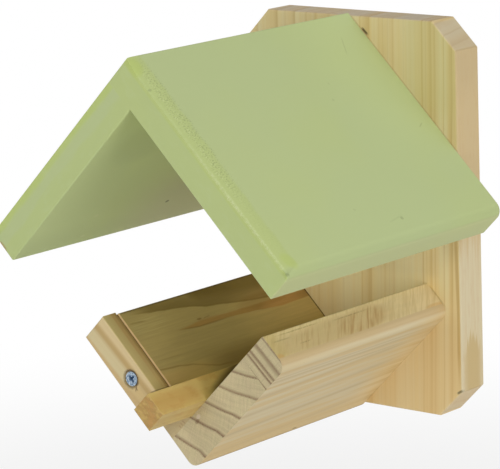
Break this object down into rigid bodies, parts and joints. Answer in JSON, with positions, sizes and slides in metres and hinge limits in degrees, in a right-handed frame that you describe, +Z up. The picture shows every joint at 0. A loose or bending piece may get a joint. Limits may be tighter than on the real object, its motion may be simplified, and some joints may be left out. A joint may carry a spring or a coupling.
{
  "type": "peanut butter jar holder",
  "caption": "Wall-hung wooden bird feeder: gable roof over a V cradle that holds a jar on its side, with a perch stick and a turning latch.",
  "frame": {"origin": "centre of the back board's rear face, on the wall that the holder hangs on", "axes": "+Z up, +Y into the wall, +X to the right of somebody who faces the holder; the front looks along -Y"},
  "size_m": [0.1712, 0.176, 0.1929],
  "materials": {
    "pine_back": "planed pine, untreated",
    "pine_cradle": "planed pine, sawn long edges",
    "pine_perch": "planed pine heartwood",
    "pine_latch": "planed pine, untreated",
    "green_paint": "light green paint on wood, satin",
    "zinc_steel": "bright zinc plate",
    "pin_steel": "plain wire"
  },
  "bodies": {
    "frame": {"back_board": "pine_back", "roof_board_right": "green_paint", "roof_board_left": "green_paint", "cradle_board_right": "pine_cradle", "cradle_board_left": "pine_cradle", "perch": "pine_perch", "latch_screw": "zinc_steel", "roof_screws": "zinc_steel", "cradle_screws": "zinc_steel", "ridge_pins": "pin_steel", "cradle_pins": "pin_steel", "perch_pins": "pin_steel"},
    "latch": {"latch": "pine_latch"}
  },
  "joints": [
    {"name": "latch_turn", "type": "hinge", "parent": "frame", "child": "latch", "pos_m": [-0.02828, -0.1468, -0.05794], "axis": [0, 1, 0], "range_deg": [-180, 110]}
  ]
}
